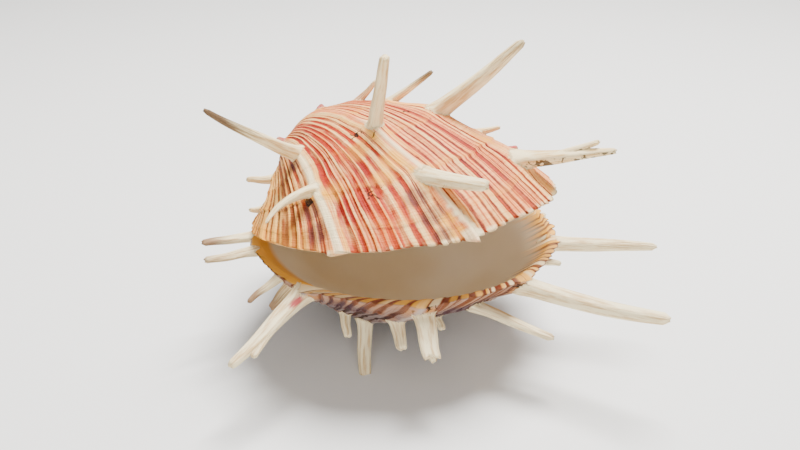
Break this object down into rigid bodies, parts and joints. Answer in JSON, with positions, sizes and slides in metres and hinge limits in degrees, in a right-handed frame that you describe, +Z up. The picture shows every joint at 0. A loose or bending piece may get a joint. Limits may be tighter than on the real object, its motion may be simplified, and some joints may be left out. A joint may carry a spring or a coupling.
{
  "type": "spiny oyster shell",
  "caption": "Gaping two-valved spiny oyster shell with radial ribs, long chalky spines, a scalloped margin and a smooth hollow, standing on its own lower spines.",
  "frame": {"origin": "on the surface that the shell stands on, under the middle of its bounding box", "axes": "+Z up, X along the straight hinge line, the open mouth towards -Y and the hinge towards +Y"},
  "size_m": [0.1294, 0.1346, 0.0887],
  "materials": {
    "upper_valve": "matte",
    "lower_valve": "matte",
    "ligament": "matte"
  },
  "bodies": {
    "root": {"upper_valve": "upper_valve", "lower_valve": "lower_valve", "hinge_ligament": "ligament"}
  },
  "joints": []
}
